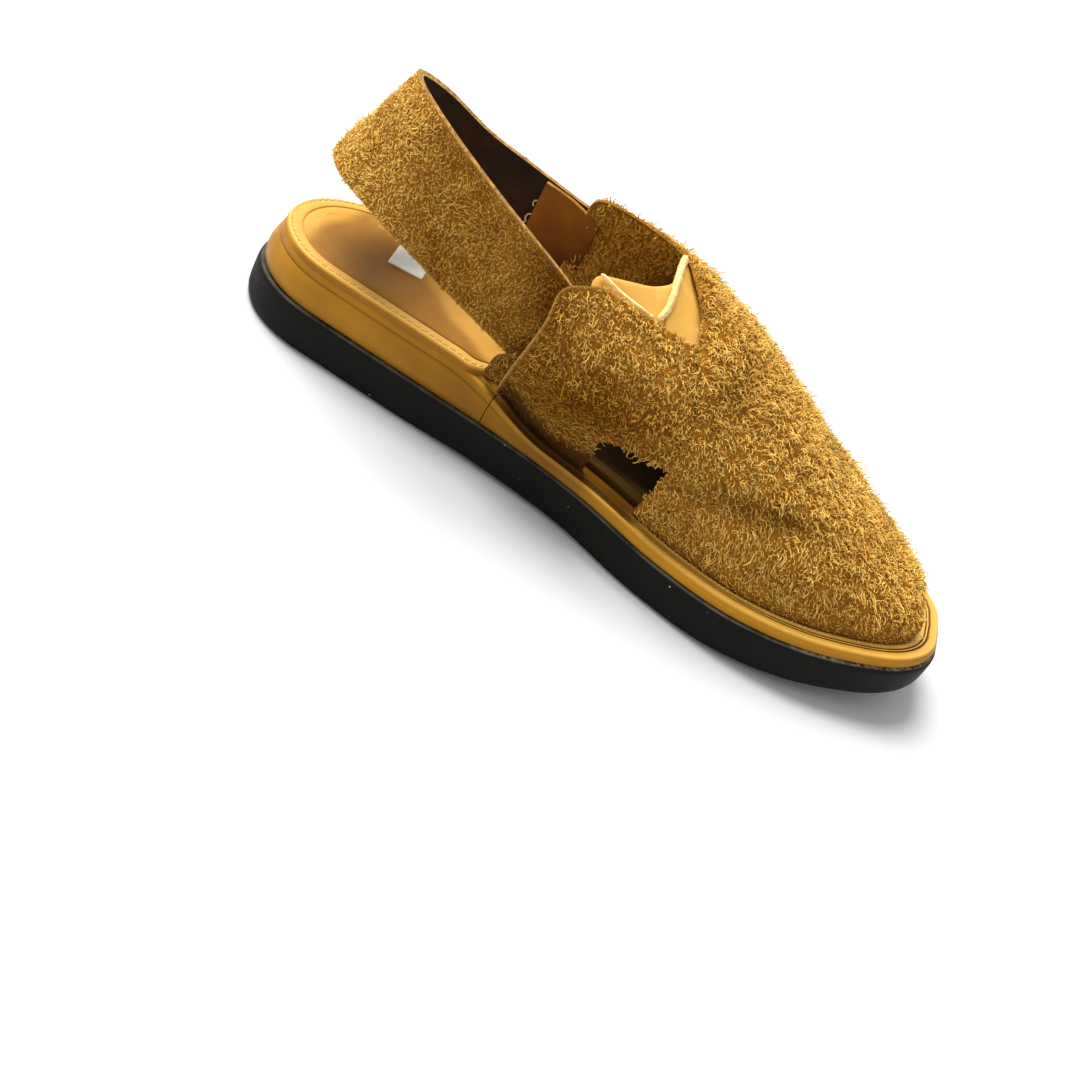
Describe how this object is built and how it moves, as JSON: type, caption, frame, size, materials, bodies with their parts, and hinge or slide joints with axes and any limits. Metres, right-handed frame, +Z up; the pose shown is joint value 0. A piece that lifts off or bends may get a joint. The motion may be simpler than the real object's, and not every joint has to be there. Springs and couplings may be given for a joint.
{
  "type": "peshawari chappal",
  "caption": "Left peshawari chappal: broad shaggy suede straps crossed over the forefoot, open toe and sides, heel strap, and a leather-wrapped wedge on a black rubber outsole.",
  "frame": {"origin": "on the floor under the middle of the outsole's outline", "axes": "+X from heel to toe, +Y to the wearer's left (the outer side), +Z up"},
  "size_m": [0.285, 0.1066, 0.099],
  "materials": {
    "rubber": "matt black rubber with faint scuffs and a greyish upper edge",
    "ochre_leather": "smooth ochre leather wrap, lightly waxed",
    "tan_leather": "smooth tan leather, worn brown where the foot rests",
    "shaggy_suede": "rough, long-napped golden suede with dark gaps between its curls",
    "brown_leather": "smooth orange-brown leather"
  },
  "bodies": {
    "root": {"outsole": "rubber", "heel_wedge": "ochre_leather", "midsole": "ochre_leather", "insole": "tan_leather", "upper": "shaggy_suede", "tongue": "tan_leather", "heel_strap": "shaggy_suede", "strap_tab": "brown_leather"}
  },
  "joints": []
}
